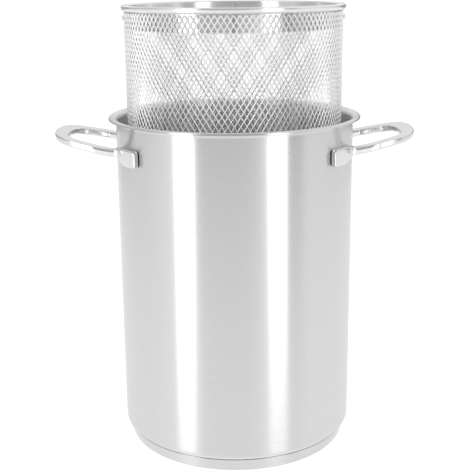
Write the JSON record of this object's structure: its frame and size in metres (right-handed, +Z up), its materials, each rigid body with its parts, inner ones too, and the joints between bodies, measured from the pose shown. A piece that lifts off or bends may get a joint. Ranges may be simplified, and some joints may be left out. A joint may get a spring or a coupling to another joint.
{
  "type": "tall cooking pot with lift-out basket",
  "caption": "Tall steel cooking pot with a pouring rim, a capped sandwich base and loop handles, holding a lift-out mesh basket with a folding bail.",
  "frame": {"origin": "centre of the pot's flat underside", "axes": "+Z up along the pot's axis, +X towards the right handle, -Y towards the viewer"},
  "size_m": [0.2446, 0.172, 0.3038],
  "materials": {
    "pot_steel": "satin stainless steel, brushed round the pot",
    "base_aluminium": "bare rolled disc",
    "handle_steel": "polished cast stainless steel",
    "basket_steel": "bright electropolished stainless steel",
    "bail_steel": "bright drawn stainless wire"
  },
  "bodies": {
    "pot": {"pot_body": "pot_steel", "base_core": "base_aluminium", "base_cap": "pot_steel", "handle_left": "handle_steel", "handle_right": "handle_steel"},
    "basket": {"basket_rim_band": "basket_steel", "basket_mesh_wall": "basket_steel", "basket_bottom_band": "basket_steel", "basket_floor": "basket_steel"},
    "bail": {"basket_bail": "bail_steel"}
  },
  "joints": [
    {"name": "basket_lift", "type": "slide", "parent": "pot", "child": "basket", "axis": [0, 0, 1], "range_m": [-0.0881, 0.14]},
    {"name": "bail_swing", "type": "hinge", "parent": "basket", "child": "bail", "pos_m": [0, 0, 0.2951], "axis": [1, 0, 0], "range_deg": [-90, 180]}
  ]
}
